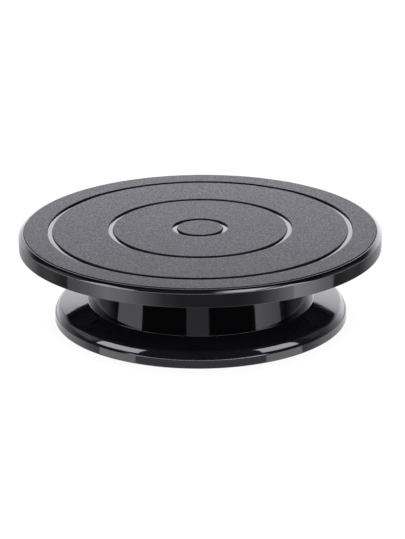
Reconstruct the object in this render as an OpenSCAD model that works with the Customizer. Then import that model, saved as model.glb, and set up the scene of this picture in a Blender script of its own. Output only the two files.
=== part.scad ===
// Sculpting turntable (banding wheel) for the bench.
//
// A moulded wheel head turns on a wide drum base.  The load runs through a
// ball race under the head: two hardened rings, a ring of balls and a moulded
// cage.  A centre spindle is screwed to the head, runs in two flanged bushes
// in the base and is held by a spring washer and a circlip.  A screwed cover
// with rubber feet closes the underside.
//
// Origin: centre of the bench plane under the feet.  +Z is the spindle axis,
// pointing up.  All sizes are in millimetres, all angles in degrees.

/* [Turning top] */
// Diameter over the rim of the turning top
top_d = 280; // [276:1:300]
// Height of the working surface above the bench
overall_h = 73.5; // [72:0.5:80]
// Thickness of the skin under the working surface
skin_t = 3.3; // [3:0.1:3.6]
// Depth of the rim, from the working surface to its lower edge
rim_drop = 13.4; // [12.8:0.1:14]
// Width of the glossy border outside the textured field
border_w = 4.4; // [4.4:0.1:6]
// Step from the textured field down to the border
step_h = 0.55; // [0.4:0.05:0.9]
// Mean radius of the inner centring groove
groove_in_r = 19.6; // [19:0.2:24]
// Mean radius of the middle centring groove
groove_mid_r = 69.1; // [60:0.5:80]
// Mean radius of the outer centring groove
groove_out_r = 115.8; // [100:0.5:120]
// Width of each centring groove
groove_w = 4.2; // [3:0.1:5]
// Depth of each centring groove
groove_d = 1.25; // [1:0.05:1.4]
// Number of stiffening ribs under the top
top_ribs = 12; // [8:2:16]

/* [Base] */
// Diameter of the base over its rim
base_d = 228; // [226:1:240]
// Height of the base's lower edge above the bench
base_lift = 2; // [1.5:0.1:2.5]
// Radius of the drum where it meets the flange
drum_r = 87.8; // [86:0.2:90]
// Height of that corner above the base's lower edge
flange_rise = 15.5; // [15:0.1:17]
// Slope of the flange, degrees from level
flange_slope = 8.2; // [6:0.2:9]
// Draft of the drum wall, degrees from plumb
drum_draft = 6.5; // [5:0.5:7]
// Wall thickness of the drum
wall_t = 3; // [2.6:0.1:3.4]
// Number of stiffening ribs inside the drum
drum_ribs = 8; // [8:8:8]

/* [Ball race] */
// Ball diameter
ball_d = 6.35; // [6:0.05:6.4]
// Number of balls
balls = 24; // [16:4:30]
// Radius of the ball track
track_r = 66; // [65.5:0.1:66.5]
// Thickness of each race ring
race_t = 3.2; // [3:0.1:3.2]
// Running gap between a ball and each groove
ball_gap = 0.02; // [0.01:0.01:0.04]

/* [Spindle] */
// Diameter of the spindle
spindle_d = 12; // [10:0.5:12]
// Radial running clearance of the spindle in its bushes
spindle_gap = 0.05; // [0.02:0.01:0.08]

/* [Feet] */
// Number of rubber feet
feet = 6; // [6:1:6]
// Diameter of each foot
foot_d = 18; // [14:1:20]
// Radius of the circle the feet stand on
foot_pcd_r = 90; // [86:1:94]

/* [Hidden] */
$fn = 96;

// Radii
top_r = top_d / 2;
base_r = base_d / 2;
foot_r = foot_d / 2;
ball_r = ball_d / 2;
spindle_r = spindle_d / 2;
bush_r = spindle_r + 2;
race_in_r = track_r - 11;
race_out_r = track_r + 6;

// Levels, from the working surface down
top_z = overall_h;
skin_z = top_z - skin_t;              // underside of the skin
rim_z = top_z - rim_drop;             // lower edge of the rim
pad_z = top_z - 7.5;                  // joint of the spindle and the top
spindle_flange_z = top_z - 10.9;      // underside of the spindle's flange
ball_z = top_z - 10.5;                // plane of the ball centres
race_offset = 1.8;                    // ball plane to the face of either race
upper_race_z = ball_z + race_offset;  // face of the upper race
lower_race_z = ball_z - race_offset;  // face of the lower race
deck_z = lower_race_z - 1.2;          // top of the drum
bush_seat_z = deck_z - 4;             // seat of the upper bush's flange
hub_z = deck_z - 30;                  // lower end of the hub
base_z = base_lift;                   // lower edge of the base

// Cover and feet
cover_t = 2.4;
cover_seat_z = base_z + cover_t + 0.1;
foot_pocket = 1.2;

// Countersunk screws and their holes
screw_r = 1.45;
screw_head_r = 2.85;
hole_r = 1.6;
hole_head_r = 2.95;
csk_depth = 1.55;
pilot_r = 1.5;
boss_r = 4;
race_screw_r = track_r - 7.5;
lower_race_turn = 45;                 // lower race's screws against the upper's
spindle_screw_r = 10.5;
cover_screw_r = base_r - 15;

BLACK = [0.05, 0.05, 0.055];
FIELD = [0.36, 0.36, 0.38];
STEEL = [0.72, 0.73, 0.75];
RUBBER = [0.10, 0.10, 0.11];
NYLON = [0.88, 0.86, 0.80];
ZINC = [0.62, 0.64, 0.68];
BUSH_BROWN = [0.62, 0.47, 0.28];
SPRING_GREY = [0.38, 0.40, 0.44];
CLIP_GREY = [0.28, 0.29, 0.31];

// ---------------------------------------------------------------- helpers

// Unit vector at an angle
function direction(angle) = [cos(angle), sin(angle)];

// Points on an arc, both ends included
function arc(centre, radius, start, end, steps) =
    [for (i = [0:steps]) centre + radius * direction(start + (end - start) * i / steps)];

// Crossing point of two lines, each given by a unit normal and a distance
function cross_lines(normal_1, dist_1, normal_2, dist_2) =
    let (det = normal_1[0] * normal_2[1] - normal_1[1] * normal_2[0])
    [(dist_1 * normal_2[1] - dist_2 * normal_1[1]) / det,
     (normal_1[0] * dist_2 - normal_2[0] * dist_1) / det];

module ring(inner_r, outer_r, low_z, high_z)
    rotate_extrude() translate([inner_r, low_z]) square([outer_r - inner_r, high_z - low_z]);

module around(count, start = 0)
    for (i = [0:count - 1]) rotate([0, 0, start + i * 360 / count]) children();

module on_circle(count, radius, z, start = 0)
    around(count, start) translate([radius, 0, z]) children();

module at_race_screws(z, start = 0) on_circle(4, race_screw_r, z, start) children();

module at_spindle_screws(z) on_circle(4, spindle_screw_r, z, 45) children();

module at_cover_screws(z) on_circle(6, cover_screw_r, z, 30) children();

// Upright rib on the XZ plane; outline points are [radius, z]
module rib(thickness, outline)
    rotate([90, 0, 0]) translate([0, 0, -thickness / 2])
        linear_extrude(thickness) polygon(outline);

// Countersunk screw along -Z, head face at z = 0, with a hexagon socket
module csk_screw(length)
    difference() {
        rotate_extrude()
            polygon([[0, 0], [screw_head_r, 0], [screw_head_r, -0.15], [screw_r, -csk_depth],
                [screw_r, -length + 0.9], [0.7, -length], [0, -length]]);
        translate([0, 0, -1.2]) cylinder(h = 2, r = 1.15, $fn = 6);
    }

// Countersunk clearance hole along -Z, mouth at z = 0
module csk_hole(length)
    rotate_extrude()
        polygon([[0, 0.5], [hole_head_r, 0.5], [hole_head_r, -0.2], [hole_r, -csk_depth],
            [hole_r, -length], [0, -length]]);

// ---------------------------------------------------------- turning top

top_rib_t = 1.8;
seat_r = race_out_r + 2.4;                // outside of the upper race's seat
upper_race_back_z = upper_race_z + race_t;
border_crown_r = 7.4;
border_edge_r = 0.4;

// Outline of the wheel head, from the axis over the top and under the rim:
// a small step down from the field into a narrow quirk, a thin level fillet, a
// crowned border that leans from 17.5 to 50 degrees, an eased edge, a plumb rim
function top_outline() =
    let (field_r = top_r - border_w,
         border_z = top_z - step_h,
         edge_centre = [top_r - border_edge_r, border_z - 2.56],
         crown_centre = edge_centre - (border_crown_r - border_edge_r) * direction(40))
    concat(
        [[0, skin_z], [0, top_z]],
        arc([field_r - 0.08, top_z - 0.08], 0.08, 90, 4, 2),
        [[field_r + 0.05, border_z - 0.5], [field_r + 0.42, border_z - 0.5],
         [field_r + 0.5, border_z]],
        arc(crown_centre, border_crown_r, 72.5, 40, 7),
        arc(edge_centre, border_edge_r, 30, 0, 3),
        arc([top_r - 0.6, rim_z + 0.6], 0.6, 0, -90, 3),
        [[top_r - 2.6, rim_z], [top_r - 3.2, skin_z - 1.4]],
        arc([top_r - 4.4, skin_z - 1.3], 1.2, 0, 90, 3));

// Section of a centring groove: steep walls, rounded corners, flat floor
module groove(mean_r)
    let (inner_r = mean_r - groove_w / 2, outer_r = mean_r + groove_w / 2,
         floor_z = top_z - groove_d)
        polygon(concat(
            [[inner_r, top_z + 1], [inner_r, top_z]],
            arc([inner_r + 0.7, floor_z + 0.5], 0.5, 180, 270, 4),
            arc([outer_r - 0.7, floor_z + 0.5], 0.5, 270, 360, 4),
            [[outer_r, top_z], [outer_r, top_z + 1]]));

// Web from the race seat out to the rim, deepest in the middle
module top_rib()
    rib(top_rib_t, [
        [race_out_r + 3.4, skin_z + 0.6], [race_out_r + 3.4, skin_z - 5],
        [race_out_r + 9, skin_z - 6.4], [top_r - 9, skin_z - 6.4],
        [top_r - 2, skin_z - 4.2], [top_r - 2, skin_z + 0.6]]);

module top_plate() color(FIELD)
    difference() {
        union() {
            rotate_extrude() difference() {
                polygon(top_outline());
                groove(groove_in_r);
                groove(groove_mid_r);
                groove(groove_out_r);
            }
            // seat and locating lip of the upper race
            ring(race_in_r - 2, seat_r, upper_race_back_z, skin_z + 0.5);
            ring(race_out_r + 0.05, seat_r, upper_race_z + 0.8, upper_race_back_z + 0.5);
            // dust skirt outside the race, just clear of the deck
            ring(seat_r - 0.1, seat_r + 1.9, deck_z + 0.6, skin_z + 0.5);
            // pad that carries the spindle
            ring(0, 17, pad_z, skin_z + 0.5);
            // stiffening ring between the race and the rim
            ring(104.1, 105.9, skin_z - 4.6, skin_z + 0.6);
            around(top_ribs, 180 / top_ribs) top_rib();
            // inner webs from the spindle pad to the race seat
            around(6, 30) translate([16, -top_rib_t / 2, skin_z - 2.2])
                cube([race_in_r - 17, top_rib_t, 2.8]);
        }
        // pilot holes for the race screws and the spindle screws
        at_race_screws(upper_race_z) cylinder(h = 7, r = pilot_r);
        at_spindle_screws(pad_z - 0.5) cylinder(h = 5.4, r = pilot_r);
    }

// ------------------------------------------------------------- ball race

track_groove_r = ball_r * 1.055;
cage_half_w = 4.6;
cage_half_t = 1.1;

// Race ring, ball track on its upper side at z = 0, body below
module race_ring()
    difference() {
        rotate_extrude() difference() {
            translate([race_in_r, -race_t]) square([race_out_r - race_in_r, race_t]);
            translate([track_r, race_offset - ball_r - ball_gap + track_groove_r])
                circle(r = track_groove_r);
        }
        at_race_screws(0) csk_hole(race_t + 1);
    }

module lower_race() color(STEEL)
    translate([0, 0, lower_race_z]) rotate([0, 0, lower_race_turn]) race_ring();

module upper_race() color(STEEL)
    translate([0, 0, upper_race_z]) rotate([180, 0, 0]) race_ring();

module lower_race_screws() color(ZINC)
    at_race_screws(lower_race_z, lower_race_turn) csk_screw(10);

module upper_race_screws() color(ZINC)
    at_race_screws(upper_race_z) rotate([180, 0, 0]) csk_screw(6.4);

module ball_cage() color(NYLON)
    difference() {
        ring(track_r - cage_half_w, track_r + cage_half_w,
            ball_z - cage_half_t, ball_z + cage_half_t);
        on_circle(balls, track_r, ball_z - 2) cylinder(h = 4, r = ball_r + 0.12);
        // lightening slots between the pockets, on the inner edge
        on_circle(balls, track_r - cage_half_w, ball_z - 2, 180 / balls)
            cylinder(h = 4, r = 1.6);
    }

module bearing_balls() color(STEEL)
    on_circle(balls, track_r, ball_z) sphere(r = ball_r);

// ---------------------------------------------------------------- spindle

bush_len = 10;                            // body length below the flange
bush_flange_t = 1.5;
shoulder_r = bush_r - 0.6;
shoulder_z = bush_seat_z + bush_flange_t + 0.2;
clip_groove_r = spindle_r - 0.6;
clip_groove_top_z = hub_z - 4.2;
clip_groove_z = clip_groove_top_z - 1.2;  // lower side of the circlip groove
clip_gap = 0.05;
spindle_end_z = hub_z - 8.1;
washer_z = hub_z - bush_flange_t - 0.1;   // upper face of the thrust washer

// Flange under the top, shoulder over the upper bush, circlip groove near the end
module spindle() color(STEEL)
    difference() {
        rotate_extrude()
            polygon([[0, pad_z], [14.4, pad_z], [15, pad_z - 0.6],
                [15, spindle_flange_z + 0.5], [14.5, spindle_flange_z],
                [shoulder_r, spindle_flange_z], [shoulder_r, shoulder_z],
                [spindle_r, shoulder_z], [spindle_r, clip_groove_top_z],
                [clip_groove_r, clip_groove_top_z], [clip_groove_r, clip_groove_z],
                [spindle_r, clip_groove_z], [spindle_r, spindle_end_z + 0.9],
                [spindle_r - 0.9, spindle_end_z], [0, spindle_end_z]]);
        at_spindle_screws(spindle_flange_z) rotate([180, 0, 0]) csk_hole(5);
        // lathe centre in the lower end
        translate([0, 0, spindle_end_z - 0.9]) cylinder(h = 2.6, r1 = 2.4, r2 = 0.6);
    }

module spindle_screws() color(ZINC)
    at_spindle_screws(spindle_flange_z) rotate([180, 0, 0]) csk_screw(7.4);

// Flanged bush, flange standing on z = 0, body below
module flanged_bush()
    let (bore_r = spindle_r + spindle_gap, flange_r = bush_r + 2.5, body_r = bush_r - 0.02)
        rotate_extrude()
            polygon([[bore_r, bush_flange_t], [flange_r, bush_flange_t], [flange_r, 0],
                [body_r, 0], [body_r, -bush_len + 0.5], [bush_r - 0.5, -bush_len],
                [bore_r, -bush_len]]);

module upper_bush() color(BUSH_BROWN)
    translate([0, 0, bush_seat_z]) flanged_bush();

module lower_bush() color(BUSH_BROWN)
    translate([0, 0, hub_z]) rotate([180, 0, 0]) flanged_bush();

module thrust_washer() color(NYLON)
    ring(spindle_r + 0.15, bush_r + 3, washer_z - 1, washer_z);

// Dished spring washer between the thrust washer and the circlip
module spring_washer() color(SPRING_GREY)
    let (inner_r = spindle_r + 0.2, outer_r = bush_r + 2.4, thickness = 0.8,
         inner_z = hub_z - 4.1, outer_z = hub_z - 3.45)
        rotate_extrude()
            polygon([[inner_r, inner_z], [outer_r, outer_z],
                [outer_r, outer_z + thickness], [inner_r, inner_z + thickness]]);

// External circlip: ring open towards -X, with two drilled ears
module circlip() color(CLIP_GREY)
    translate([0, 0, clip_groove_z + clip_gap]) linear_extrude(1.1)
        difference() {
            union() {
                translate([0.3, 0]) circle(r = spindle_r + 1.7);
                for (side = [-1, 1])
                    translate([-spindle_r - 1.2, side * 2.1]) circle(r = 1.7, $fn = 32);
            }
            circle(r = clip_groove_r + clip_gap);
            translate([-spindle_d - 2, -0.9]) square([spindle_d + 2, 1.8]);
            for (side = [-1, 1])
                translate([-spindle_r - 1.3, side * 2.2]) circle(r = 0.75, $fn = 32);
        }

// ------------------------------------------------------------------- base

flange_t = 2.8;
ceiling_z = deck_z - 4.5;                 // underside of the deck
race_floor_z = lower_race_z - race_t;
rebate_r = base_r - 3.4;                  // rebate around the cover
rim_in_r = base_r - 5.6;

// Flange and drum wall in the half section, as unit normals and distances
flange_normal = direction(90 - flange_slope);
drum_normal = direction(drum_draft);
corner = [drum_r, base_z + flange_rise];
flange_dist = flange_normal * corner;
drum_dist = drum_normal * corner;

// Rounds at the top edge and at the foot of the drum
drum_top_r = 2;
drum_top = cross_lines(drum_normal, drum_dist - drum_top_r, [0, 1], deck_z - drum_top_r);
toe_r = 0.5;
toe = cross_lines(flange_normal, flange_dist + toe_r, drum_normal, drum_dist + toe_r);

// The lip: a rim with a little draft, an eased edge, a crowned chamfer that
// leans from 69 degrees at its foot to 50 and a round into the flange
edge_r = 0.8;
edge_centre = [base_r - 1.165, base_z + 6.43];
crown_r = 15;
crown_centre = edge_centre + (edge_r - crown_r) * direction(21);
crown_top = crown_centre + crown_r * direction(40);
lip_r = (flange_dist - flange_normal * crown_top) / (1 - flange_normal * direction(40));
lip_centre = crown_top - lip_r * direction(40);

function base_outline() = concat(
    // outside, from the lower edge up to the deck
    [[rebate_r, base_z]],
    arc([base_r - 1.2, base_z + 1.2], 1.2, -90, 4, 5),
    arc(edge_centre, edge_r, 4, 16, 2),
    arc(crown_centre, crown_r, 21, 40, 6),
    arc(lip_centre, lip_r, 46, 90 - flange_slope, 7),
    arc(toe, toe_r, 270 - flange_slope, 180 + drum_draft, 5),
    arc(drum_top, drum_top_r, drum_draft, 90, 5),
    // deck, recess of the lower race and the hub's bore
    [[race_out_r + 0.1, deck_z], [race_out_r + 0.1, race_floor_z],
     [race_in_r - 0.1, race_floor_z], [race_in_r - 0.1, deck_z],
     [bush_r + 4, deck_z], [bush_r + 4, bush_seat_z], [bush_r, bush_seat_z],
     [bush_r, hub_z], [15, hub_z], [15.6, ceiling_z]],
    // inside of the drum and of the flange
    [cross_lines(drum_normal, drum_dist - wall_t, [0, 1], ceiling_z),
     cross_lines(flange_normal, flange_dist - flange_t, drum_normal, drum_dist - wall_t),
     lip_centre + (lip_r - flange_t) * flange_normal,
     [rim_in_r, base_z + 7], [rim_in_r, cover_seat_z], [rebate_r, cover_seat_z]]);

module drum_rib()
    rib(2.2, [[14, hub_z + 4], [drum_r - 5.2, deck_z - 14],
        [drum_r - 6.4, deck_z - 3.5], [14, deck_z - 3.5]]);

module flange_rib()
    rib(1.8, [[drum_r - 1.8, base_z + 4.4], [base_r - 4.6, base_z + 4.4],
        [base_r - 5, base_z + 8.4], [base_r - 7.6, base_z + 11.4],
        [drum_r - 1.8, base_z + 14]]);

module base_shell() color(BLACK)
    difference() {
        union() {
            rotate_extrude() polygon(base_outline());
            around(drum_ribs, 22.5) drum_rib();
            around(12, 15) flange_rib();
            // bosses of the lower race screws and of the cover screws
            at_race_screws(deck_z - 12, lower_race_turn) cylinder(h = 9, r = boss_r);
            at_cover_screws(cover_seat_z) cylinder(h = 9.6, r = boss_r);
        }
        at_race_screws(deck_z - 11.5, lower_race_turn) cylinder(h = 12, r = pilot_r);
        at_cover_screws(base_z) cylinder(h = 10.8, r = pilot_r);
    }

module bottom_cover() color(BLACK)
    difference() {
        union() {
            ring(0, rebate_r - 0.4, base_z, base_z + cover_t);
            // stiffening rings inside the drum
            for (inner_r = [30, 70])
                ring(inner_r, inner_r + 2, base_z + cover_t - 0.4, base_z + cover_t + 4);
        }
        // shallow panels, foot pockets and screw holes in the underside
        for (inner_r = [18, 48])
            ring(inner_r, inner_r + 26, base_z - 1, base_z + 0.6);
        on_circle(feet, foot_pcd_r, base_z - 1) cylinder(h = foot_pocket + 1, r = foot_r + 0.1);
        at_cover_screws(base_z) rotate([180, 0, 0]) csk_hole(cover_t + 1);
    }

module cover_screws() color(ZINC)
    at_cover_screws(base_z) rotate([180, 0, 0]) csk_screw(9.6);

// Round rubber foot in its pocket, with a rounded lower edge and a flat sole
module foot(i) color(RUBBER)
    rotate([0, 0, i * 360 / feet]) translate([foot_pcd_r, 0, 0])
        rotate_extrude()
            polygon(concat(
                [[0, base_z + foot_pocket], [foot_r, base_z + foot_pocket], [foot_r, 1]],
                arc([foot_r - 1, 1], 1, 0, -90, 4),
                [[0, 0]]));

module foot_1() foot(0);
module foot_2() foot(1);
module foot_3() foot(2);
module foot_4() foot(3);
module foot_5() foot(4);
module foot_6() foot(5);

base_shell();
bottom_cover();
cover_screws();
foot_1();
foot_2();
foot_3();
foot_4();
foot_5();
foot_6();
lower_race();
lower_race_screws();
upper_bush();
lower_bush();
ball_cage();
bearing_balls();
top_plate();
upper_race();
upper_race_screws();
spindle();
spindle_screws();
thrust_washer();
spring_washer();
circlip();
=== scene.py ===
import math

import bmesh
import bpy
import numpy as np
from mathutils import Matrix, Vector


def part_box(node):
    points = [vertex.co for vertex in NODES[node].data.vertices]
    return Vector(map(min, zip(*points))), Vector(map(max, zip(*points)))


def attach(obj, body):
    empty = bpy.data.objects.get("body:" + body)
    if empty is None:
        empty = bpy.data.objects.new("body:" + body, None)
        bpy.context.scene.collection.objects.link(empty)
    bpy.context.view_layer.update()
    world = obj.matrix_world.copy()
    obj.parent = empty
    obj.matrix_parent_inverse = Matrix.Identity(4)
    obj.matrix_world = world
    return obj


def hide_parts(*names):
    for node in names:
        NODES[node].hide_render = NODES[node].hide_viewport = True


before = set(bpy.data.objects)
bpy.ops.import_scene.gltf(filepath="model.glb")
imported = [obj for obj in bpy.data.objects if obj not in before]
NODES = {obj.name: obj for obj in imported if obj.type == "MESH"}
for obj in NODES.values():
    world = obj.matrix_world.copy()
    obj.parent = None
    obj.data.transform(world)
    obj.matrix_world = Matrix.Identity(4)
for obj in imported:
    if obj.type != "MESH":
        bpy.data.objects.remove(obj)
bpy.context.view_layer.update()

MM = 0.001

# ------------------------------------------------------------------ places
# Heights and radii in millimetres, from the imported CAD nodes.


def cad(node):
    lo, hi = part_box(node)
    return [v / MM for v in lo], [v / MM for v in hi]


def radius_of(node):
    lo, hi = cad(node)
    return round(max(hi[0], hi[1], -lo[0], -lo[1]) * 2) / 2


ZT = round(cad("top_plate")[1][2], 2)          # working surface
R_TOP = radius_of("top_plate")                 # rim of the wheel head
Z0 = round(cad("base_shell")[0][2], 2)         # lower edge of the base
R_BASE = radius_of("base_shell")
DECK = round(cad("base_shell")[1][2], 2)       # top of the drum
Z_RIM = ZT - 13.4
Z_SKIN = ZT - 3.3
BALL_Z = ZT - 10.5
TRACK_R = 66.0
Z_LR, Z_UR = BALL_Z - 1.8, BALL_Z + 1.8
RACE_T, RACE_IN, RACE_OUT = 3.2, 55.0, 72.0
HUB_Z = DECK - 30.0
BUSH_R = 8.0
COVER_T = 2.4
GROOVES = (19.6, 69.1, 115.8)
SEG = 360

# ------------------------------------------------------------ mesh helpers


def arc(c, r, a0, a1, n):
    return [
        (c[0] + r * math.cos(math.radians(a0 + (a1 - a0) * i / n)),
         c[1] + r * math.sin(math.radians(a0 + (a1 - a0) * i / n)))
        for i in range(n + 1)
    ]


def cross_lines(n1, d1, n2, d2):
    det = n1[0] * n2[1] - n1[1] * n2[0]
    return ((d1 * n2[1] - d2 * n1[1]) / det, (n1[0] * d2 - n2[0] * d1) / det)


def fillet(p0, p1, p2, r, n=5):
    """Points that round the corner p1 of the path p0, p1, p2 with radius r."""
    a, b, c = (Vector(p) for p in (p0, p1, p2))
    u, v = (a - b), (c - b)
    lu, lv = u.length, v.length
    u.normalize(); v.normalize()
    half = math.acos(max(-1.0, min(1.0, u.dot(v)))) / 2
    if half > math.radians(88):
        return [tuple(b)]
    t = min(r / math.tan(half), 0.48 * lu, 0.48 * lv)
    r = t * math.tan(half)
    centre = b + (u + v).normalized() * (r / math.sin(half))
    s, e = b + u * t - centre, b + v * t - centre
    a0, a1 = math.atan2(s.y, s.x), math.atan2(e.y, e.x)
    while a1 - a0 > math.pi:
        a1 -= 2 * math.pi
    while a1 - a0 < -math.pi:
        a1 += 2 * math.pi
    return [(centre.x + r * math.cos(a0 + (a1 - a0) * i / n),
             centre.y + r * math.sin(a0 + (a1 - a0) * i / n)) for i in range(n + 1)]


def rounded(path, r, n=4, closed=True):
    """A path whose corners are all rounded: each entry is (r, z) or (r, z, own radius)."""
    out, m = [], len(path)
    for i, p in enumerate(path):
        rr = p[2] if len(p) > 2 else r
        if (not closed and i in (0, m - 1)) or rr <= 0 or p[0] <= 1e-6:
            out.append((p[0], p[1]))
            continue
        out += fillet(path[i - 1][:2], p[:2], path[(i + 1) % m][:2], rr, n)
    return out


def supported(path, near=0.22, longest=9.0, closed=True):
    """Adds holding points beside each corner of a long straight run, so that smooth shading keeps flats flat."""
    out, m = [], len(path)
    for i in range(m if closed else m - 1):
        a, b = Vector(path[i]), Vector(path[(i + 1) % m])
        out.append(tuple(a))
        ln = (b - a).length
        if ln > 1.2 and not (a.x < 1e-6 and b.x < 1e-6):
            d = near / ln
            k = max(1, math.ceil((ln - 2 * near) / longest))
            for j in range(k + 1):
                t = d + (1 - 2 * d) * j / k
                out.append(tuple(a.lerp(b, t)))
    if not closed:
        out.append(tuple(path[-1]))
    return out


def clean(path):
    out = []
    for p in path:
        if not out or (abs(p[0] - out[-1][0]) + abs(p[1] - out[-1][1])) > 1e-4:
            out.append(p)
    if (abs(out[0][0] - out[-1][0]) + abs(out[0][1] - out[-1][1])) < 1e-4:
        out.pop()
    return out


def new_object(name, verts, faces, mats, face_mats=None, sharp=None):
    mesh = bpy.data.meshes.new(name)
    mesh.from_pydata([tuple(v) for v in verts], [], faces)
    for m in mats:
        mesh.materials.append(m)
    if face_mats is not None:
        mesh.polygons.foreach_set("material_index", face_mats)
    mesh.update()
    ob = bpy.data.objects.new(name, mesh)
    bpy.context.scene.collection.objects.link(ob)
    finish_mesh(ob, sharp)
    return ob


def finish_mesh(ob, sharp=None, weld=True):
    bm = bmesh.new()
    bm.from_mesh(ob.data)
    if weld:
        bmesh.ops.remove_doubles(bm, verts=bm.verts, dist=2e-7)
    bmesh.ops.recalc_face_normals(bm, faces=bm.faces)
    bm.to_mesh(ob.data)
    bm.free()
    ob.data.polygons.foreach_set("use_smooth", [True] * len(ob.data.polygons))
    if sharp:
        ob.data.set_sharp_from_angle(angle=math.radians(sharp))
    ob.data.update()


def lathe(name, path, mats, seg=SEG, zone=None, sharp=None, support=True, centre=(0.0, 0.0), phase=0.0):
    """A closed outline in the (r, z) half plane turned about +Z. zone(r0, z0, r1, z1) gives a run's material."""
    path = clean(path)
    if support:
        path = clean(supported(path))
    ang = [2 * math.pi * (k + phase) / seg for k in range(seg)]
    verts, rows = [], []
    for r, z in path:
        if r < 1e-6:
            rows.append([len(verts)] * seg)
            verts.append((centre[0] * MM, centre[1] * MM, z * MM))
        else:
            rows.append(list(range(len(verts), len(verts) + seg)))
            verts += [((centre[0] + r * math.cos(a)) * MM, (centre[1] + r * math.sin(a)) * MM, z * MM) for a in ang]
    faces, fm = [], []
    m = len(path)
    for i in range(m):
        j = (i + 1) % m
        (r0, z0), (r1, z1) = path[i], path[j]
        if r0 < 1e-6 and r1 < 1e-6:
            continue
        mi = zone(r0, z0, r1, z1) if zone else 0
        for k in range(seg):
            k2 = (k + 1) % seg
            f = [rows[i][k], rows[i][k2], rows[j][k2], rows[j][k]]
            f = [v for n, v in enumerate(f) if v != f[n - 1]]
            faces.append(f)
            fm.append(mi)
    return new_object(name, verts, faces, mats, fm, sharp)


def prism(name, outline, width, mats, bevel=0.35):
    """A flat rib: an outline in the (r, z) plane, width thick across, with rounded edges."""
    verts = [(r * MM, s * width / 2 * MM, z * MM) for s in (-1, 1) for r, z in outline]
    n = len(outline)
    faces = [list(range(n))[::-1], list(range(n, 2 * n))]
    faces += [[i, (i + 1) % n, n + (i + 1) % n, n + i] for i in range(n)]
    ob = new_object(name, verts, faces, mats)
    if bevel:
        bm = bmesh.new()
        bm.from_mesh(ob.data)
        bmesh.ops.bevel(bm, geom=list(bm.edges), offset=bevel * MM, segments=3, profile=0.5, affect="EDGES", clamp_overlap=True)
        bm.to_mesh(ob.data)
        bm.free()
    return ob


def copies_about_z(ob, count, start=0.0):
    """One mesh with the object's mesh repeated about +Z. The object itself goes."""
    bm = bmesh.new()
    for i in range(count):
        part = ob.data.copy()
        part.transform(Matrix.Rotation(math.radians(start + 360.0 * i / count), 4, "Z"))
        bm.from_mesh(part)
        bpy.data.meshes.remove(part)
    bm.to_mesh(ob.data)
    bm.free()
    return ob


def boolean(target, tool, how):
    """Applies a boolean to target at once, and removes the tool object."""
    mod = target.modifiers.new("bool", "BOOLEAN")
    mod.operation = how
    mod.object = tool
    try:
        mod.solver = "MANIFOLD"
    except TypeError:
        mod.solver = "EXACT"
    dg = bpy.context.evaluated_depsgraph_get()
    mesh = bpy.data.meshes.new_from_object(target.evaluated_get(dg), depsgraph=dg)
    target.modifiers.remove(mod)
    if len(mesh.polygons) > 0:
        old = target.data
        target.data = mesh
        bpy.data.meshes.remove(old)
    bpy.data.objects.remove(tool)
    return target


# ------------------------------------------------------------- node helper


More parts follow.
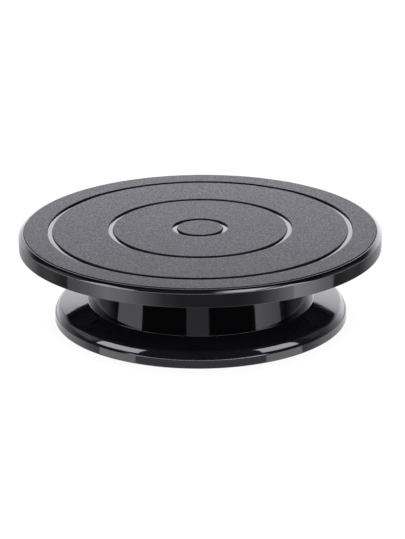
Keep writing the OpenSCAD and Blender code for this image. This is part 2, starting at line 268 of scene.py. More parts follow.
class G:
    """Small helper that writes shader maths as Python expressions."""

    def __init__(self, tree):
        self.t = tree
        self.x = -1600

    def node(self, kind, **props):
        n = self.t.nodes.new(kind)
        self.x += 30
        n.location = (self.x, -(len(self.t.nodes) % 12) * 160)
        for k, v in props.items():
            setattr(n, k, v)
        return n

    def put(self, socket, value):
        if isinstance(value, bpy.types.NodeSocket):
            self.t.links.new(value, socket)
        else:
            socket.default_value = value

    def m(self, op, a, b=None, c=None, clamp=False):
        n = self.node("ShaderNodeMath", operation=op, use_clamp=clamp)
        self.put(n.inputs[0], a)
        if b is not None:
            self.put(n.inputs[1], b)
        if c is not None:
            self.put(n.inputs[2], c)
        return n.outputs[0]

    def add(self, *xs):
        out = xs[0]
        for x in xs[1:]:
            out = self.m("ADD", out, x)
        return out

    def mul(self, *xs):
        out = xs[0]
        for x in xs[1:]:
            out = self.m("MULTIPLY", out, x)
        return out

    def sub(self, a, b):
        return self.m("SUBTRACT", a, b)

    def ramp(self, x, x0, x1, y0=0.0, y1=1.0, smooth=True):
        n = self.node("ShaderNodeMapRange", interpolation_type="SMOOTHSTEP" if smooth else "LINEAR", clamp=True)
        self.put(n.inputs["Value"], x)
        n.inputs["From Min"].default_value = x0
        n.inputs["From Max"].default_value = x1
        n.inputs["To Min"].default_value = y0
        n.inputs["To Max"].default_value = y1
        return n.outputs["Result"]

    def curve(self, x, x0, x1, points):
        """Straight runs between (x, y) points, over x0 .. x1."""
        top = max(y for _, y in points)
        n = self.node("ShaderNodeFloatCurve")
        c = n.mapping.curves[0]
        pts = [((a - x0) / (x1 - x0), y / top) for a, y in points]
        while len(c.points) < len(pts):
            c.points.new(0.5, 0.5)
        for q, (a, y) in zip(c.points, pts):
            q.location = (a, y)
            q.handle_type = "VECTOR"
        n.mapping.update()
        self.put(n.inputs["Value"], self.ramp(x, x0, x1, smooth=False))
        return self.mul(n.outputs[0], top)

    def box(self, x, a, b, soft):
        """1 between a and b, falling to 0 over soft on both sides."""
        return self.mul(self.ramp(x, a - soft, a + soft), self.ramp(x, b - soft, b + soft, 1.0, 0.0))

    def mix(self, f, a, b):
        """Float mix."""
        n = self.node("ShaderNodeMix", data_type="FLOAT")
        self.put(n.inputs[0], f)
        self.put(n.inputs[2], a)
        self.put(n.inputs[3], b)
        return n.outputs[0]

    def mixc(self, f, a, b, blend="MIX"):
        n = self.node("ShaderNodeMix", data_type="RGBA", blend_type=blend)
        self.put(n.inputs[0], f)
        self.put(n.inputs[6], a)
        self.put(n.inputs[7], b)
        return n.outputs[2]

    def noise(self, vec, scale, detail=2.0, rough=0.5, distortion=0.0):
        n = self.node("ShaderNodeTexNoise")
        if vec is not None:
            self.put(n.inputs["Vector"], vec)
        n.inputs["Scale"].default_value = scale
        n.inputs["Detail"].default_value = detail
        n.inputs["Roughness"].default_value = rough
        n.inputs["Distortion"].default_value = distortion
        return n.outputs["Fac"]

    def xyz(self, vec):
        n = self.node("ShaderNodeSeparateXYZ")
        self.put(n.inputs[0], vec)
        return n.outputs[0], n.outputs[1], n.outputs[2]

    def vec(self, x, y, z):
        n = self.node("ShaderNodeCombineXYZ")
        self.put(n.inputs[0], x)
        self.put(n.inputs[1], y)
        self.put(n.inputs[2], z)
        return n.outputs[0]

    def bump(self, height, strength, distance, normal=None):
        n = self.node("ShaderNodeBump")
        self.put(n.inputs["Height"], height)
        n.inputs["Strength"].default_value = strength
        n.inputs["Distance"].default_value = distance
        if normal is not None:
            self.put(n.inputs["Normal"], normal)
        return n.outputs[0]


def material(name, build):
    mat = bpy.data.materials.new(name)
    mat.use_nodes = True
    t = mat.node_tree
    t.nodes.clear()
    g = G(t)
    out = g.node("ShaderNodeOutputMaterial")
    bsdf = g.node("ShaderNodeBsdfPrincipled")
    t.links.new(bsdf.outputs[0], out.inputs["Surface"])
    co = g.node("ShaderNodeTexCoord").outputs["Object"]
    build(g, bsdf, co)
    return mat


def rgb(r, g, b):
    return (r, g, b, 1.0)


# --------------------------------------------------------------- materials


def m_gloss(g, b, co, body=1.0):
    """Polished injection-moulded plastic: near black, faint flow marks, a trace of handling haze."""
    flow = g.noise(co, 55.0, 3.0, 0.55, 0.4)
    haze = g.noise(co, 16.0, 4.0, 0.6, 1.2)
    fine = g.noise(co, 900.0, 2.0, 0.5)
    # body above 1 makes a lighter copy of this plastic: painted light
    col = g.mixc(flow, rgb(0.0022 * body, 0.0020 * body, 0.0030 * body), rgb(0.0036 * body, 0.0034 * body, 0.0046 * body))
    g.put(b.inputs["Base Color"], col)
    rough = g.add(0.045, g.mul(g.ramp(haze, 0.45, 0.72), 0.035), g.mul(fine, 0.012))
    g.put(b.inputs["Roughness"], rough)
    b.inputs["IOR"].default_value = 1.52
    peel = g.bump(g.noise(co, 140.0, 1.5, 0.5), 0.05, 0.0004)
    g.put(b.inputs["Normal"], g.bump(g.noise(co, 24.0, 1.0, 0.5), 0.06, 0.0012, peel))


def m_field(g, b, co):
    """Spark-eroded working surface: a close, hard grain in the bumps and in a fine speckle of pale and dark tone, the
    pale specks partly painted glints.
    Colour and specular rise the flatter it is looked at: a painted sheen, lighter towards the back and darker towards
    the front."""
    g1 = g.noise(co, 1700.0, 1.0, 0.5)
    g2 = g.noise(co, 820.0, 3.0, 0.7)
    g3 = g.noise(co, 34.0, 3.0, 0.55, 0.5)
    # pale specks: the grain's tone, partly painted glints of the grain
    speck = g.ramp(g2, 0.40, 0.61)
    graze = g.sub(1.0, g.node("ShaderNodeLayerWeight").outputs["Facing"])
    # painted sheen: colour value and specular level raised at grazing view and lowered when seen from above
    painted_sheen_lift = g.ramp(graze, 0.285, 0.355, 2.36, 0.93, smooth=False)
    col = g.mixc(speck, rgb(0.009, 0.0088, 0.0102), rgb(0.101, 0.0985, 0.109))
    col = g.mixc(g.mul(g.ramp(g3, 0.35, 0.75), 0.2), col, rgb(0.050, 0.049, 0.055))
    hue = g.node("ShaderNodeHueSaturation")
    g.put(hue.inputs["Color"], col)
    g.put(hue.inputs["Value"], painted_sheen_lift)
    g.put(b.inputs["Base Color"], hue.outputs[0])
    g.put(b.inputs["Roughness"], g.add(0.50, g.mul(g2, 0.10), g.mul(g3, 0.06)))
    g.put(b.inputs["Specular IOR Level"], g.mul(painted_sheen_lift, 0.5))
    b.inputs["IOR"].default_value = 1.5
    h = g.add(g.mul(g1, 0.5), g.mul(g2, 0.9))
    g.put(b.inputs["Normal"], g.bump(h, 1.0, 0.00035))


def m_satin(g, b, co):
    """Cover and inner mouldings: satin black with a light moulded grain."""
    g1 = g.noise(co, 1100.0, 2.0, 0.6)
    g2 = g.noise(co, 40.0, 3.0, 0.55)
    g.put(b.inputs["Base Color"], g.mixc(g2, rgb(0.017, 0.017, 0.019), rgb(0.028, 0.027, 0.030)))
    g.put(b.inputs["Roughness"], g.add(0.34, g.mul(g2, 0.14)))
    g.put(b.inputs["Normal"], g.bump(g1, 0.22, 0.00012))


def m_painted_highlight_edge(g, b, co):
    """The eased top edge of the wheel head's rim and the ledge beside its quirk: a paler satin line of painted
    highlight.
    """
    g1 = g.noise(co, 260.0, 3.0, 0.6)
    g.put(b.inputs["Base Color"], g.mixc(g1, rgb(0.17, 0.168, 0.178), rgb(0.24, 0.237, 0.250)))
    g.put(b.inputs["Roughness"], g.add(0.24, g.mul(g1, 0.12)))
    b.inputs["Specular IOR Level"].default_value = 0.3
    g.put(b.inputs["Normal"], g.bump(g1, 0.1, 0.0001))


def m_inner(g, b, co):
    """Underside of the wheel head: the mould's plain, dull side."""
    g1 = g.noise(co, 800.0, 2.0, 0.6)
    g2 = g.noise(co, 30.0, 3.0, 0.55)
    g.put(b.inputs["Base Color"], g.mixc(g2, rgb(0.026, 0.0255, 0.0285), rgb(0.038, 0.037, 0.041)))
    g.put(b.inputs["Roughness"], g.add(0.62, g.mul(g2, 0.12)))
    b.inputs["Specular IOR Level"].default_value = 0.16
    g.put(b.inputs["Normal"], g.bump(g1, 0.25, 0.00012))


def m_painted_shade_walls(g, b, co):
    """Walls of the grooves and of the quirk: painted shade, a near-black dull finish with little specular standing in
    for the shade in these recesses; the darkest part of the head.
    """
    g1 = g.noise(co, 700.0, 2.0, 0.6)
    g.put(b.inputs["Base Color"], g.mixc(g1, rgb(0.0012, 0.0011, 0.0016), rgb(0.0030, 0.0028, 0.0036)))
    g.put(b.inputs["Roughness"], g.add(0.6, g.mul(g1, 0.12)))
    b.inputs["Specular IOR Level"].default_value = 0.08


def m_rubber(g, b, co):
    g1 = g.noise(co, 900.0, 3.0, 0.6)
    g2 = g.noise(co, 90.0, 2.0, 0.5)
    g.put(b.inputs["Base Color"], g.mixc(g2, rgb(0.022, 0.022, 0.023), rgb(0.040, 0.040, 0.041)))
    g.put(b.inputs["Roughness"], g.add(0.72, g.mul(g1, 0.14)))
    g.put(b.inputs["Normal"], g.bump(g1, 0.3, 0.00012))


def turned_metal(c0, c1, r0, r1, ring=5200.0):
    """Turned and ground metal: fine rings about the spindle axis."""

    def build(g, b, co):
        x, y, z = g.xyz(co)
        rad = g.m("SQRT", g.add(g.mul(x, x), g.mul(y, y)))
        rings = g.noise(g.vec(rad, g.mul(z, 1.0), 0.0), ring, 3.0, 0.7)
        cloud = g.noise(co, 70.0, 3.0, 0.55)
        b.inputs["Metallic"].default_value = 1.0
        g.put(b.inputs["Base Color"], g.mixc(cloud, rgb(*c0), rgb(*c1)))
        g.put(b.inputs["Roughness"], g.add(r0, g.mul(rings, r1 - r0), g.mul(cloud, 0.05)))
        g.put(b.inputs["Normal"], g.bump(rings, 0.18, 0.00004))

    return build


def m_zinc(g, b, co):
    cloud = g.noise(co, 260.0, 3.0, 0.6)
    b.inputs["Metallic"].default_value = 1.0
    g.put(b.inputs["Base Color"], g.mixc(cloud, rgb(0.48, 0.50, 0.55), rgb(0.60, 0.61, 0.62)))
    g.put(b.inputs["Roughness"], g.add(0.22, g.mul(cloud, 0.14)))
    g.put(b.inputs["Normal"], g.bump(cloud, 0.12, 0.00006))


def m_bronze(g, b, co):
    pores = g.noise(co, 1800.0, 3.0, 0.7)
    cloud = g.noise(co, 120.0, 2.0, 0.5)
    b.inputs["Metallic"].default_value = 1.0
    g.put(b.inputs["Base Color"], g.mixc(cloud, rgb(0.42, 0.28, 0.14), rgb(0.55, 0.38, 0.20)))
    g.put(b.inputs["Roughness"], g.add(0.34, g.mul(pores, 0.2)))
    g.put(b.inputs["Normal"], g.bump(pores, 0.25, 0.00006))


def m_nylon(g, b, co):
    g1 = g.noise(co, 700.0, 2.0, 0.5)
    g2 = g.noise(co, 60.0, 2.0, 0.5)
    g.put(b.inputs["Base Color"], g.mixc(g2, rgb(0.70, 0.66, 0.57), rgb(0.80, 0.77, 0.69)))
    g.put(b.inputs["Roughness"], g.add(0.40, g.mul(g2, 0.1)))
    b.inputs["Subsurface Weight"].default_value = 0.15
    b.inputs["Subsurface Radius"].default_value = (0.002, 0.0016, 0.0012)
    g.put(b.inputs["Normal"], g.bump(g1, 0.12, 0.0001))


GLOSS = material("gloss_black_plastic", m_gloss)
# painted light: the head's gloss plastic with 4.6 times its colour, brightening the shading of the base's flange, lip
# and rim
GLOSS_PAINTED_LIGHTER = material("gloss_black_plastic_painted_lighter", lambda g, b, co: m_gloss(g, b, co, 4.6))
FIELD = material("textured_black_plastic", m_field)
SATIN = material("satin_black_plastic", m_satin)
# painted highlight: pale satin line along the rim's top edge and the ledge beside the quirk
EDGE = material("painted_highlight_black_plastic", m_painted_highlight_edge)
INNER = material("dull_black_plastic", m_inner)
# painted shade: near-black walls of the grooves and the quirk
DEEP = material("painted_shade_black_plastic", m_painted_shade_walls)
RUBBER = material("foot_rubber_black", m_rubber)
STEEL = material("ground_steel", turned_metal((0.56, 0.57, 0.59), (0.66, 0.67, 0.69), 0.14, 0.30))
BALL = material("polished_ball_steel", turned_metal((0.66, 0.67, 0.69), (0.74, 0.75, 0.77), 0.05, 0.09, 900.0))
SPRING = material("blackened_spring_steel", turned_metal((0.10, 0.10, 0.115), (0.16, 0.16, 0.175), 0.26, 0.42, 2400.0))
ZINC = material("zinc_plated_screw", m_zinc)
BRONZE = material("sintered_bronze", m_bronze)
NYLON = material("natural_nylon", m_nylon)

# -------------------------------------------------------------- wheel head


def groove_path(r, w=4.2, d=1.25, lip=0.1):
    """Points of one centring groove across the working surface, from its outer edge to its inner one:
    steep walls, rounded corners, a flat floor and eased lips."""
    h = w / 2
    z = ZT - d
    out = [(r + h + 1.0, ZT)]
    out += fillet((r + h + 1.0, ZT), (r + h, ZT), (r + h - 0.2, z + 0.5), lip, 4)
    out += arc((r + h - 0.7, z + 0.5), 0.5, 0, -90, 5)
    out += [(r, z)]
    out += arc((r - h + 0.7, z + 0.5), 0.5, -90, -180, 5)
    out += fillet((r - h + 0.2, z + 0.5), (r - h, ZT), (r - h - 1.0, ZT), lip, 4)
    out += [(r - h - 1.0, ZT)]
    return out


def make_top():
    re = R_TOP - 4.4
    step = 0.55
    edge = (R_TOP - 0.4, ZT - step - 2.56)
    crown = (edge[0] - 7.0 * math.cos(math.radians(40)), edge[1] - 7.0 * math.sin(math.radians(40)))
    path = [(0.0, ZT)]
    for r in GROOVES:
        path += list(reversed(groove_path(r)))
    path += arc((re - 0.06, ZT - 0.06), 0.06, 90, 4, 4)
    path += [(re + 0.05, ZT - step - 0.44), (re + 0.11, ZT - step - 0.5), (re + 0.36, ZT - step - 0.5), (re + 0.42, ZT - step - 0.44)]
    path += [(re + 0.49, ZT - step - 0.04), (re + 0.53, ZT - step)]
    path += arc(crown, 7.4, 72.5, 40, 11)
    path += arc(edge, 0.4, 40, 0, 10)
    path += arc((R_TOP - 0.5, Z_RIM + 0.5), 0.5, 0, -90, 6)
    inner = [
        (R_TOP - 2.6, Z_RIM, 0.4), (R_TOP - 3.2, Z_SKIN, 1.6),
        (105.9, Z_SKIN, 0.6), (105.7, Z_SKIN - 4.6, 0.5), (104.3, Z_SKIN - 4.6, 0.5), (104.1, Z_SKIN, 0.6),
        (RACE_OUT + 4.3, Z_SKIN, 0.7), (RACE_OUT + 4.2, DECK + 0.6, 0.4), (RACE_OUT + 2.3, DECK + 0.6, 0.4),
        (RACE_OUT + 2.3, Z_UR + 0.8, 0.05), (RACE_OUT + 0.05, Z_UR + 0.8, 0.25), (RACE_OUT + 0.05, Z_UR + RACE_T, 0.05),
        (RACE_IN - 2, Z_UR + RACE_T, 0.4), (RACE_IN - 2, Z_SKIN, 0.6),
        (17.0, Z_SKIN, 0.6), (17.0, ZT - 7.5, 0.4),
    ]
    inner_path = [(R_TOP - 0.5, Z_RIM)] + [p for p in inner] + [(0.0, ZT - 7.5)]
    path += rounded(inner_path, 0.4, 4, closed=False)[1:]

    def zone(r0, z0, r1, z1):
        flat = abs(z0 - ZT) < 1e-3 and abs(z1 - ZT) < 1e-3
        if flat and max(r0, r1) < re + 0.01:
            return 0
        steep = abs(z1 - z0) > 0.85 * abs(r1 - r0)
        low = max(z0, z1) < ZT - 0.05 and min(z0, z1) > ZT - 1.3
        # zone 4: groove and quirk walls get the near-black painted shade
        if max(r0, r1) < re + 0.5 and low and (steep or min(r0, r1) > re):
            return 4
        # zone 3: the painted highlight, on the ledge beside the quirk and on the rim's eased top edge
        if min(r0, r1) > re + 0.48 and max(r0, r1) < re + 1.3 and min(z0, z1) > ZT - step - 0.3:
            return 3
        if min(r0, r1) > R_TOP - 0.12 and min(z0, z1) > edge[1] - 0.01:
            return 3
        inside = max(r0, r1) < R_TOP - 2.2 and max(z0, z1) < ZT - 3.0
        return 2 if inside else 1

    top = lathe("wheel_head", path, [FIELD, GLOSS, INNER, EDGE, DEEP], zone=zone)
    rib = prism("rib", [(RACE_OUT + 3.4, Z_SKIN + 0.6), (RACE_OUT + 3.4, Z_SKIN - 5), (RACE_OUT + 9, Z_SKIN - 6.4),
                        (R_TOP - 9, Z_SKIN - 6.4), (R_TOP - 2, Z_SKIN - 4.2), (R_TOP - 2, Z_SKIN + 0.6)], 1.8, [FIELD, GLOSS, INNER, EDGE, DEEP])
    rib.data.polygons.foreach_set("material_index", [2] * len(rib.data.polygons))
    boolean(top, copies_about_z(rib, 12, 15), "UNION")
    web = prism("web", [(16, Z_SKIN + 0.6), (16, Z_SKIN - 2.2), (54, Z_SKIN - 2.2), (54, Z_SKIN + 0.6)], 1.8, [FIELD, GLOSS, INNER, EDGE, DEEP])
    web.data.polygons.foreach_set("material_index", [2] * len(web.data.polygons))
    boolean(top, copies_about_z(web, 6, 30), "UNION")
    for r, z, h, start in ((58.5, Z_UR, 7.0, 0), (10.5, ZT - 8, 5.4, 45)):
        pin = lathe("pin", [(0, z - 1), (1.5, z - 1), (1.5, z + h), (0, z + h)], [FIELD, GLOSS, INNER, EDGE, DEEP], seg=32, support=False,
                    centre=(r, 0), zone=lambda *a: 2)
        boolean(top, copies_about_z(pin, 4, start), "DIFFERENCE")
    finish_mesh(top, 42)
    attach(top, "wheel_head")
    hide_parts("top_plate")
    return top


# -------------------------------------------------------------------- base


def make_base():
    fs, dd_ = math.radians(8.2), math.radians(6.5)
    nf = (math.sin(fs), math.cos(fs))
    nd = (math.cos(dd_), math.sin(dd_))
    corner = (87.8, Z0 + 15.5)
    df = nf[0] * corner[0] + nf[1] * corner[1]
    dd = nd[0] * corner[0] + nd[1] * corner[1]
    top_c = cross_lines(nd, dd - 2, (0, 1), DECK - 2)
    toe = cross_lines(nf, df + 0.5, nd, dd + 0.5)

    def off(p, r, a):
        return (p[0] + r * math.cos(math.radians(a)), p[1] + r * math.sin(math.radians(a)))

    edge_c = (R_BASE - 1.165, Z0 + 6.43)
    crown_r = 15.0
    crown_c = off(edge_c, 0.8 - crown_r, 21)
    crown_top = off(crown_c, crown_r, 40)
    lip_r = (df - nf[0] * crown_top[0] - nf[1] * crown_top[1]) / (1 - nf[0] * math.cos(math.radians(40)) - nf[1] * math.sin(math.radians(40)))
    lip_c = off(crown_top, -lip_r, 40)
    path = [(R_BASE - 3.4, Z0)]
    path += arc((R_BASE - 1.2, Z0 + 1.2), 1.2, -90, 4, 8)
    path += arc(edge_c, 0.8, 4, 21, 8)
    path += arc(crown_c, crown_r, 21, 40, 14)
    path += arc(lip_c, lip_r, 40, 81.8, 16)
    path += arc(toe, 0.5, 261.8, 186.5, 8)
    path += arc(top_c, 2, 6.5, 90, 10)
    i0 = cross_lines(nd, dd - 3, (0, 1), DECK - 4.5)
    i1 = cross_lines(nf, df - 2.8, nd, dd - 3)
    i2 = (lip_c[0] + (lip_r - 2.8) * nf[0], lip_c[1] + (lip_r - 2.8) * nf[1])
    inside = [
        path[-1],
        (RACE_OUT + 0.1, DECK, 0.2), (RACE_OUT + 0.1, Z_LR - RACE_T, 0.05), (RACE_IN - 0.1, Z_LR - RACE_T, 0.05),
        (RACE_IN - 0.1, DECK, 0.2), (BUSH_R + 4, DECK, 0.4), (BUSH_R + 4, DECK - 4, 0.1),
        (BUSH_R, DECK - 4, 0.15), (BUSH_R, HUB_Z, 0.3), (15, HUB_Z, 0.5), (15.6, DECK - 4.5, 1.0),
        (*i0, 1.0), (*i1, 1.0), (*i2, 1.5), (R_BASE - 5.6, Z0 + 7, 1.5), (R_BASE - 5.6, Z0 + COVER_T + 0.1, 0.1),
        (R_BASE - 3.4, Z0 + COVER_T + 0.1, 0.1), path[0],
    ]
    path += rounded(inside, 0.4, 4, closed=False)[1:-1]
    path = path[1:] + path[:1]
    # the drum keeps the plain gloss, the rest of the base the painted-lighter copy
    base = lathe("base", path, [GLOSS_PAINTED_LIGHTER, GLOSS],
                 zone=lambda r0, z0, r1, z1: 1 if min(r0, r1) > 79.0 and max(r0, r1) < 88.2 and min(z0, z1) > Z0 + 15.3 else 0)
    rib = prism("rib", [(14, HUB_Z + 4), (82.6, DECK - 14), (81.4, DECK - 3.5), (14, DECK - 3.5)], 2.2, [GLOSS_PAINTED_LIGHTER])
    boolean(base, copies_about_z(rib, 8, 22.5), "UNION")
    rib = prism("rib", [(86, Z0 + 4.4), (R_BASE - 4.6, Z0 + 4.4), (R_BASE - 5, Z0 + 8.4), (R_BASE - 7.6, Z0 + 11.2), (86, Z0 + 14)],
                1.8, [GLOSS_PAINTED_LIGHTER])
    boolean(base, copies_about_z(rib, 12, 15), "UNION")
    boss = lathe("boss", rounded([(0, DECK - 12), (4, DECK - 12, 0.4), (4, DECK - 3), (0, DECK - 3)], 0, closed=False),
                 [GLOSS_PAINTED_LIGHTER], seg=48, centre=(58.5, 0))
    boolean(base, copies_about_z(boss, 4, 45), "UNION")
    boss = lathe("boss", [(0, Z0 + 2.5), (4, Z0 + 2.5), (4, Z0 + 12.1), (0, Z0 + 12.1)], [GLOSS_PAINTED_LIGHTER], seg=48, centre=(99, 0))
    boolean(base, copies_about_z(boss, 6, 30), "UNION")
    pin = lathe("pin", [(0, DECK - 11.5), (1.5, DECK - 11.5), (1.5, DECK + 1), (0, DECK + 1)], [GLOSS_PAINTED_LIGHTER], seg=32,
                support=False, centre=(58.5, 0))
    boolean(base, copies_about_z(pin, 4, 45), "DIFFERENCE")
    pin = lathe("pin", [(0, Z0), (1.5, Z0), (1.5, Z0 + 10.8), (0, Z0 + 10.8)], [GLOSS_PAINTED_LIGHTER], seg=32, support=False, centre=(99, 0))
    boolean(base, copies_about_z(pin, 6, 30), "DIFFERENCE")
    finish_mesh(base, 42)
    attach(base, "base")
    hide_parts("base_shell")
    return base


def make_cover():
    z1 = Z0 + COVER_T
    path = rounded([
        (0, z1), (30, z1, 0.5), (30.2, z1 + 4, 0.4), (31.8, z1 + 4, 0.4), (32, z1, 0.5),
        (70, z1, 0.5), (70.2, z1 + 4, 0.4), (71.8, z1 + 4, 0.4), (72, z1, 0.5),
        (R_BASE - 3.8, z1, 0.3), (R_BASE - 3.8, Z0, 0.5),
        (74, Z0, 0.3), (74, Z0 + 0.6, 0.3), (48, Z0 + 0.6, 0.3), (48, Z0, 0.3),
        (44, Z0, 0.3), (44, Z0 + 0.6, 0.3), (18, Z0 + 0.6, 0.3), (18, Z0, 0.3), (0, Z0),
    ], 0.3, 3, closed=False)
    cover = lathe("underside_cover", path, [SATIN], seg=240)
    tool = lathe("tool", rounded([(0, Z0 - 1), (9.6, Z0 - 1, 0), (9.1, Z0 + 0.3, 0.2), (9.1, Z0 + 1.2, 0.1), (0, Z0 + 1.2)], 0, closed=False),
                 [SATIN], seg=72, centre=(90, 0))
    boolean(cover, copies_about_z(tool, 6, 0), "DIFFERENCE")
    tool = lathe("tool", [(0, Z0 - 0.5), (2.95, Z0 - 0.5), (2.95, Z0 + 0.2), (1.6, Z0 + 1.55), (1.6, Z0 + 3.4), (0, Z0 + 3.4)],
                 [SATIN], seg=48, centre=(99, 0), support=False)
    boolean(cover, copies_about_z(tool, 6, 30), "DIFFERENCE")
    finish_mesh(cover, 42)
    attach(cover, "base")
    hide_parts("bottom_cover")


def make_feet():
    for i in range(6):
        a = math.radians(60 * i)
        path = rounded([
            (0, Z0 + 1.2), (9, Z0 + 1.2, 0.3), (9, 0, 1.1), (7.0, 0, 0.25), (6.8, 0.5, 0.2), (5.8, 0.5, 0.2), (5.6, 0, 0.25),
            (3.9, 0, 0.25), (3.7, 0.5, 0.2), (2.7, 0.5, 0.2), (2.5, 0, 0.25), (0, 0),
        ], 0.25, 4, closed=False)
        foot = lathe(f"rubber_foot_{i + 1}", path, [RUBBER], seg=72, centre=(90 * math.cos(a), 90 * math.sin(a)), sharp=50)
        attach(foot, "base")
        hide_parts(f"foot_{i + 1}")


make_top()
make_base()
make_cover()
make_feet()

# ------------------------------------------- CAD nodes that stay as they are
CARRIED = {
    "cover_screws": ZINC, "lower_race_screws": ZINC, "upper_race_screws": ZINC, "spindle_screws": ZINC,
    "lower_race": STEEL, "upper_race": STEEL, "spindle": STEEL, "bearing_balls": BALL,
    "upper_bush": BRONZE, "lower_bush": BRONZE, "ball_cage": NYLON, "thrust_washer": NYLON,
    "spring_washer": SPRING, "circlip": SPRING,
}
for node, mat in CARRIED.items():
    ob = NODES[node]
    ob.data.materials.clear()
    ob.data.materials.append(mat)
    ob.data.polygons.foreach_set("use_smooth", [True] * len(ob.data.polygons))
    ob.data.set_sharp_from_angle(angle=math.radians(28))

# ------------------------------------------------------------------ camera
cam_data = bpy.data.cameras.new("camera")
cam = bpy.data.objects.new("camera", cam_data)
bpy.context.scene.collection.objects.link(cam)
bpy.context.scene.camera = cam
W, H = 405, 539
F_PX, DIST, EL = 2266.0, 1.750, math.radians(18.75)
AIM_X, AIM_Y = 200.4, 227.4                     # where the middle of the working surface lands
cam_data.sensor_fit = "AUTO"
cam_data.sensor_width = 36.0
cam_data.lens = F_PX / H * 36.0
centre_top = Vector((0, 0, ZT * MM))
back = Vector((0, -math.cos(EL), math.sin(EL)))
cam.location = centre_top + back * DIST
look = (-back).to_track_quat("-Z", "Y").to_matrix().to_4x4()
yaw = Matrix.Rotation(-math.atan((W / 2 - AIM_X) / F_PX), 4, "Y")
pitch = Matrix.Rotation(-math.atan((H / 2 - AIM_Y) / F_PX), 4, "X")
roll = Matrix.Rotation(math.radians(-0.4), 4, "Z")
cam.matrix_world = Matrix.Translation(cam.location) @ look @ yaw @ pitch @ roll
cam_data.clip_start, cam_data.clip_end = 0.05, 50.0

# ------------------------------------------------------------------- light
# The studio turns with the camera's azimuth, as a shoot on a turning stand does: every view gets the same light.


def azimuth_driver(socket):
    d = socket.driver_add("default_value").driver
    d.type = "SCRIPTED"
    for name, kind in (("cx", "LOC_X"), ("cy", "LOC_Y")):
        v = d.variables.new()
        v.name, v.type = name, "TRANSFORMS"
        v.targets[0].id = cam
        v.targets[0].transform_type = kind
        v.targets[0].transform_space = "WORLD_SPACE"
    d.expression = "-atan2(cx, -cy)"


def studio_angles(g, direction):
    """Camera-relative angles of a direction in degrees: azimuth from the camera (0 .. 180, both sides alike),
    elevation, the same azimuth signed (right positive), a right-hand mask and the direction itself."""
    rot = g.node("ShaderNodeVectorRotate", rotation_type="Z_AXIS")
    g.put(rot.inputs["Vector"], direction)
    azimuth_driver(rot.inputs["Angle"])
    x, y, z = g.xyz(rot.outputs[0])
    front = g.mul(y, -1.0)
    phi = g.mul(g.m("ARCTAN2", g.m("ABSOLUTE", x), front), 180 / math.pi)
    side = g.mul(g.m("ARCTAN2", x, front), 180 / math.pi)
    el = g.mul(g.m("ARCSINE", z), 180 / math.pi)
    return phi, el, side, g.ramp(x, -0.03, 0.03), (x, front, z)


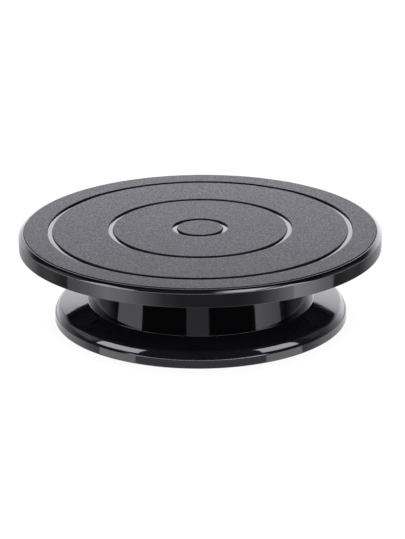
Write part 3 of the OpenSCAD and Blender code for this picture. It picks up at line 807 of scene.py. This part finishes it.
def studio_light(g, phi, el, side, right, d):
    """Radiance seen by shiny surfaces."""
    # low: the sweep of the table and the two strip boxes beside the camera
    low = g.mix(
        right,
        g.curve(phi, 0, 180, [(0, .24), (12, .24), (24, .48), (36, 1.35), (48, 2.45), (59.9, 2.7), (60.4, 2.9), (72, 1.75),
                              (84, 1.1), (91, .9), (91.8, .2), (96, .2), (108, .42), (120, .29), (132, .58), (144, .6), (168, .6),
                              (180, .75)]),
        g.curve(phi, 0, 180, [(0, .24), (24, .23), (36, .42), (48, 1.33), (57, 2.3), (59.9, 2.5), (60.4, 3.75), (72, 3.0),
                              (84, 1.8), (91, 1.4), (91.8, .2), (96, .19), (108, .27), (120, .19), (132, .49), (144, .64), (168, .72),
                              (180, .85)]))
    low = g.mul(low, g.ramp(el, -14.5, -11.5, 1.0, 0.0))
    # level with the drum: the same boxes further up, and a narrow one at the camera
    mid = g.mul(g.add(g.mix(right, g.mul(g.box(phi, 60.3, 91, 0.5), g.ramp(phi, 60, 91, 1.55, 1.2, smooth=False)),
                            g.mul(g.box(phi, 56.1, 86.8, 0.5), g.ramp(phi, 56, 87, 1.75, 0.85, smooth=False))), g.mul(g.box(side, -14, 8, 0.6), 0.46)),
                g.ramp(el, -14.5, -11.5), g.ramp(el, -2, -4))
    # pale backdrop behind the object, brightest in its middle and to the right
    wall = g.mul(g.curve(phi, 0, 180, [(0, 0), (96, 0), (110, .1), (119, .24), (128, .34), (146, 1.0), (180, 1.0)]),
                 g.curve(el, -90, 90, [(-90, .5), (-19, .5), (-14.5, .52), (-11.5, .68), (-7.5, .72), (-2, 1.0), (90, 1.0)]),
                 g.curve(g.add(el, g.mul(g.sub(180.0, phi), 0.17)), 0, 90, [(0, 1), (22, 1), (27, .62), (31, .16), (34, .03), (46, 0), (90, 0)]), 2.15)
    wall = g.mul(wall, g.ramp(el, -14.5, -11.5))
    wall = g.mul(wall, g.add(1.0, g.mul(g.ramp(phi, 158, 178), g.box(el, 8, 30, 6.0), 0.3)))
    wall = g.mul(wall, g.add(1.0, g.mul(g.box(el, 2, 40, 6.0), g.ramp(phi, 172, 160), g.mix(right, -0.16, 0.30))))
    wall = g.mul(wall, g.sub(1.0, g.mul(g.box(el, 8, 24, 3.0), g.box(phi, 168.5, 174.5, 2.0), 0.14)))
    # large boxes up on both sides
    near = g.sub(g.sub(phi, g.mix(right, 52.0, 51.0)), g.mul(g.sub(el, 29.0), 0.2))
    far = g.sub(g.mix(right, g.add(90.0, g.mul(g.sub(el, 19.0), 0.2)), g.add(83.0, g.mul(g.sub(el, 19.0), 0.17))), phi)
    under = g.add(g.sub(el, 29.0), g.mul(g.sub(phi, 56.0), 0.263))
    box = g.mul(g.ramp(near, -0.6, 0.6), g.ramp(far, -0.8, 0.8), g.ramp(under, -0.8, 0.8), g.ramp(el, 60, 57), 7.0)
    beyond = g.mul(g.box(phi, 96, 126, 4.0), g.ramp(el, 14, 20), g.ramp(el, 56, 34), g.ramp(far, 0.8, -0.8), g.mix(right, 0.8, 0.3))
    # small low light at the camera, and a small one overhead on the right
    front = g.mul(g.box(side, -58, 50, 5.0), g.box(el, 13, 20, 1.0), g.curve(side, -70, 70, [(-70, 5), (-36, 5), (-8, 10), (50, 10), (70, 5)]))
    inv = g.m("DIVIDE", 1.0, g.m("MAXIMUM", d[2], 0.05))
    spot = g.mul(g.box(g.mul(d[0], inv), 0.15, 0.46, 0.09), g.box(g.mul(d[1], inv), -0.06, 0.42, 0.1), g.ramp(el, 35, 45), 9.0)
    top = g.mul(g.ramp(el, 56, 70), g.ramp(d[1], -0.35, 0.1), 0.16)
    return g.add(0.015, low, mid, wall, box, beyond, front, spot, top)


world = bpy.data.worlds.new("studio")
bpy.context.scene.world = world
world.use_nodes = True
wt = world.node_tree
wt.nodes.clear()
g = G(wt)
direction = g.node("ShaderNodeTexCoord").outputs["Generated"]
angles = studio_angles(g, direction)
lp = g.node("ShaderNodeLightPath")
shiny = studio_light(g, *angles)
soft = g.add(0.55, g.mul(g.ramp(angles[1], -10, 60), 0.35))
level = g.mix(lp.outputs["Is Camera Ray"], g.mix(lp.outputs["Is Glossy Ray"], soft, shiny), 1.0)
bg = g.node("ShaderNodeBackground")
g.put(bg.inputs["Color"], g.mixc(lp.outputs["Is Camera Ray"], rgb(1.006, 0.994, 1.059), rgb(1.0, 1.0, 1.0)))
g.put(bg.inputs["Strength"], level)
wo = g.node("ShaderNodeOutputWorld")
wt.links.new(bg.outputs[0], wo.inputs["Surface"])

# ------------------------------------------------------------------- floor


def make_floor():
    mat = bpy.data.materials.new("pale_floor")
    mat.use_nodes = True
    t = mat.node_tree
    t.nodes.clear()
    g = G(t)
    geo = g.node("ShaderNodeNewGeometry")
    x, y, z = g.xyz(geo.outputs["Position"])
    rad = g.m("SQRT", g.add(g.mul(x, x), g.mul(y, y)))
    rot_in = g.node("ShaderNodeVectorMath", operation="SCALE")
    g.put(rot_in.inputs[0], geo.outputs["Incoming"])
    rot_in.inputs["Scale"].default_value = -1.0
    phi, el, side, right, d = studio_angles(g, rot_in.outputs[0])
    near = g.ramp(rad, 0.17, 0.15)
    lp = g.node("ShaderNodeLightPath")
    # painted contact shadow: the floor's glow, as the camera sees it, dims by 0.07 under the base and fades out by 135
    # mm from the axis
    shade = g.sub(1.03, g.mul(g.ramp(rad, 0.135, 0.108), 0.07))
    # painted reflection: for glossy rays only, the floor near the base glows, with bright bands by azimuth that match
    # the side boxes
    painted_floor_reflection = g.add(0.62, g.mul(g.box(phi, 51, 84, 1.0), 1.85), g.mul(g.ramp(phi, 86, 110), g.ramp(rad, 0.150, 0.138), 0.6))
    e_cam = g.node("ShaderNodeEmission")
    g.put(e_cam.inputs["Strength"], shade)
    e_glo = g.node("ShaderNodeEmission")
    g.put(e_glo.inputs["Strength"], painted_floor_reflection)
    clear = g.node("ShaderNodeBsdfTransparent")
    diff = g.node("ShaderNodeBsdfDiffuse")
    diff.inputs["Color"].default_value = rgb(0.8, 0.8, 0.8)
    m1 = g.node("ShaderNodeMixShader")
    g.put(m1.inputs[0], near)
    t.links.new(clear.outputs[0], m1.inputs[1])
    t.links.new(e_glo.outputs[0], m1.inputs[2])
    m2 = g.node("ShaderNodeMixShader")
    g.put(m2.inputs[0], lp.outputs["Is Glossy Ray"])
    t.links.new(diff.outputs[0], m2.inputs[1])
    t.links.new(m1.outputs[0], m2.inputs[2])
    m3 = g.node("ShaderNodeMixShader")
    g.put(m3.inputs[0], lp.outputs["Is Camera Ray"])
    t.links.new(m2.outputs[0], m3.inputs[1])
    t.links.new(e_cam.outputs[0], m3.inputs[2])
    out = g.node("ShaderNodeOutputMaterial")
    t.links.new(m3.outputs[0], out.inputs["Surface"])
    s = 3.0
    ob = new_object("floor", [(-s, -s, 0), (s, -s, 0), (s, s, 0), (-s, s, 0)], [[0, 1, 2, 3]], [mat])


make_floor()
scene = bpy.context.scene
scene.view_settings.view_transform = "Standard"
scene.view_settings.look = "None"
